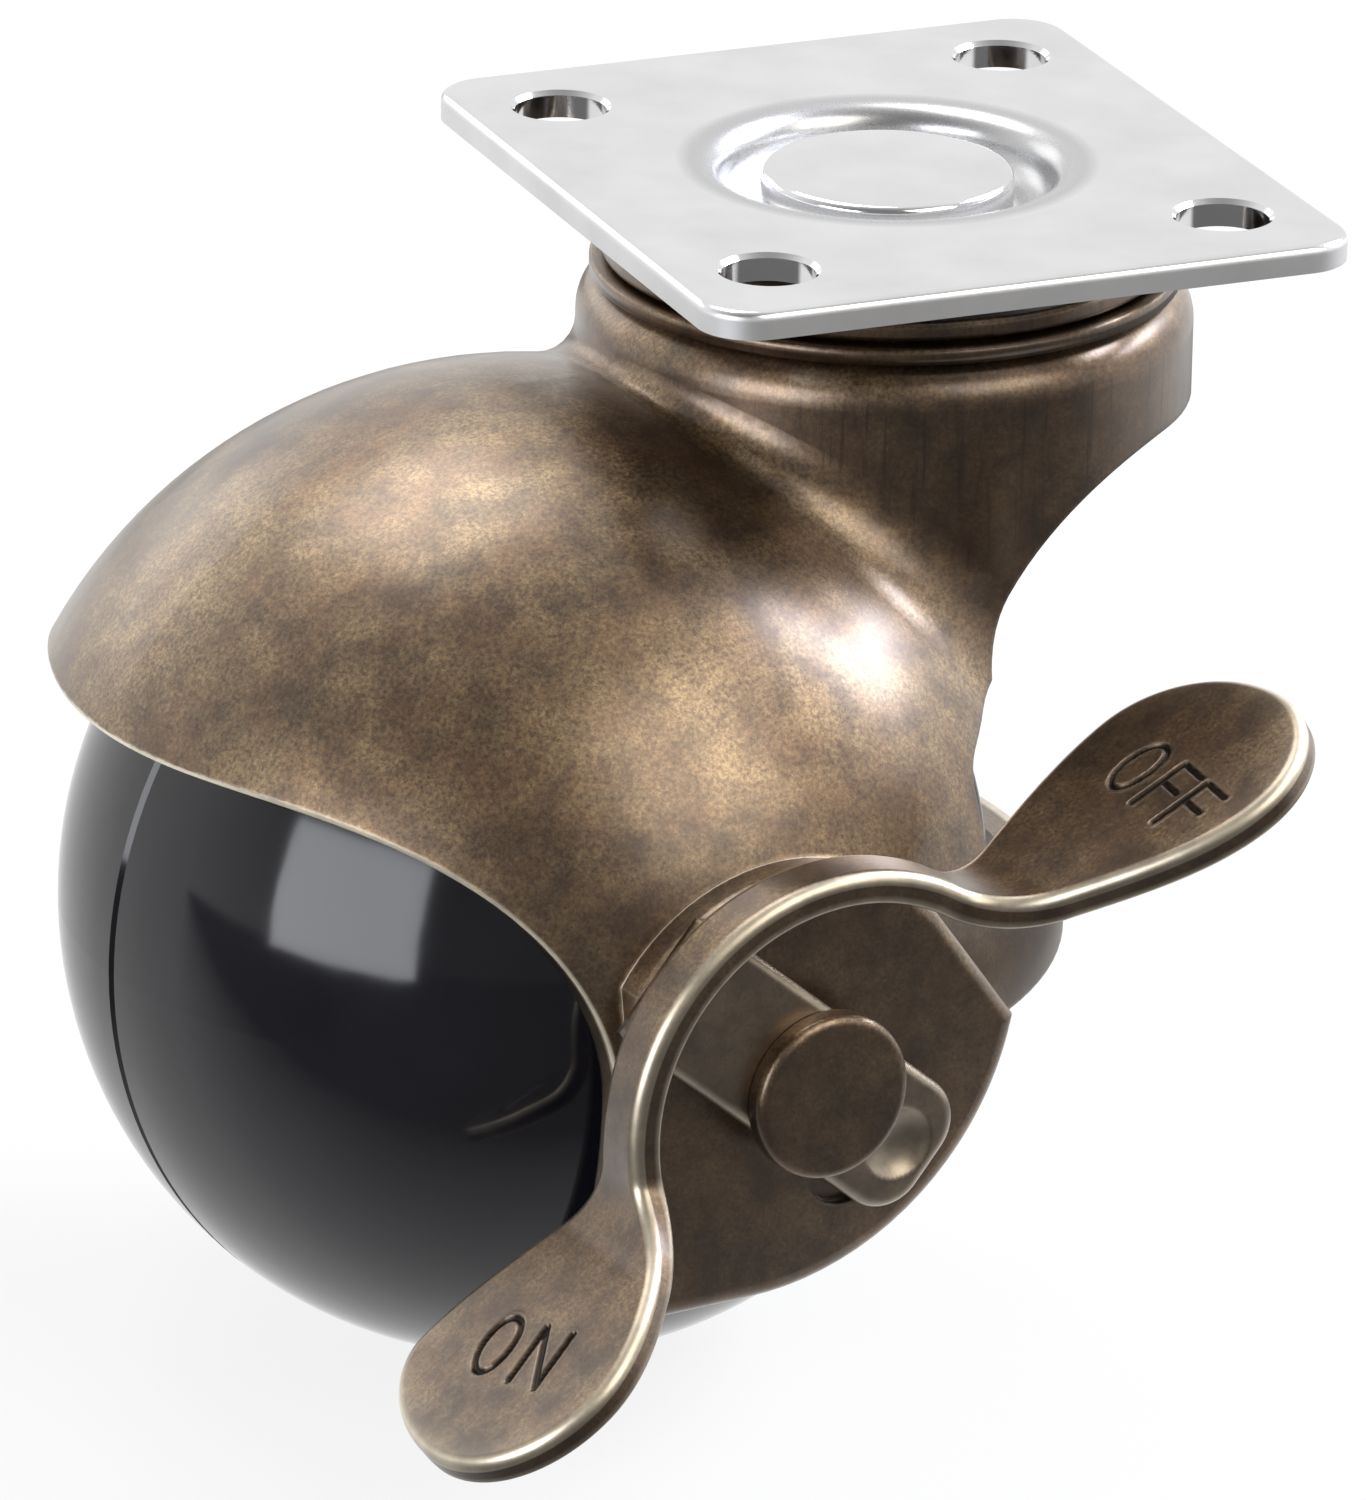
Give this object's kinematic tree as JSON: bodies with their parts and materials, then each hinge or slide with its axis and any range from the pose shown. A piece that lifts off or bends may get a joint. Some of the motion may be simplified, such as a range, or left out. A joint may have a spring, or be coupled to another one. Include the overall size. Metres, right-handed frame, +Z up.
{
  "type": "ball castor",
  "caption": "Swivel ball castor with a bright screw plate, an antique brass hood over a black ball, and a rocking on and off brake lever on the axle.",
  "frame": {"origin": "centre of the top plate's mounting face, on the swivel axis", "axes": "+Z up out of the mounting face, X and Y along the plate's sides; the ball trails towards +X and the lever is towards +Y"},
  "size_m": [0.0655, 0.0756, 0.063],
  "materials": {
    "bright_plate": "bright nickel plating",
    "antique_brass": "antique brass plating with a fine rubbed grain",
    "black_ball": "glossy black moulding",
    "bearing_steel": "plain steel",
    "bush_nylon": "natural nylon",
    "pad_rubber": "moulded rubber"
  },
  "bodies": {
    "plate": {"top_plate": "bright_plate", "king_pin": "bright_plate", "swivel_collar": "antique_brass", "lower_race_washer": "bearing_steel"},
    "swivel_balls": {"upper_balls": "bearing_steel", "lower_balls": "bearing_steel"},
    "hood": {"hood": "antique_brass", "axle": "antique_brass", "near_washer": "bearing_steel", "far_washer": "bearing_steel", "lever_washer": "bearing_steel", "plunger_spring": "bearing_steel"},
    "ball": {"ball_half_near": "black_ball", "ball_half_far": "black_ball", "bush_near": "bush_nylon", "bush_far": "bush_nylon", "hub_tube": "bearing_steel"},
    "lever": {"brake_lever": "antique_brass"},
    "plunger": {"brake_plunger": "bearing_steel", "brake_pad": "pad_rubber"}
  },
  "joints": [
    {"name": "swivel", "type": "hinge", "parent": "plate", "child": "hood", "pos_m": [0, 0, 0], "axis": [0, 0, 1], "continuous": true},
    {"name": "balls_roll", "type": "hinge", "parent": "plate", "child": "swivel_balls", "pos_m": [0, 0, 0], "axis": [0, 0, 1], "continuous": true},
    {"name": "ball_spin", "type": "hinge", "parent": "hood", "child": "ball", "pos_m": [0.0217, 0.00297, -0.038], "axis": [-0.1357, 0.9907, 0], "continuous": true},
    {"name": "lever_rock", "type": "hinge", "parent": "hood", "child": "lever", "pos_m": [0.0217, 0.00297, -0.038], "axis": [0.1357, -0.9907, 0], "range_deg": [0, 24]},
    {"name": "plunger_slide", "type": "slide", "parent": "hood", "child": "plunger", "axis": [-0.1357, 0.9907, 0], "range_m": [0, 0.0004], "deforming": ["plunger_spring"]}
  ],
  "couplings": [
    {"joint": "balls_roll", "follows": "swivel", "ratio": 0.5},
    {"joint": "plunger_slide", "follows": "lever_rock", "m_per_rad": 0.00095488}
  ]
}
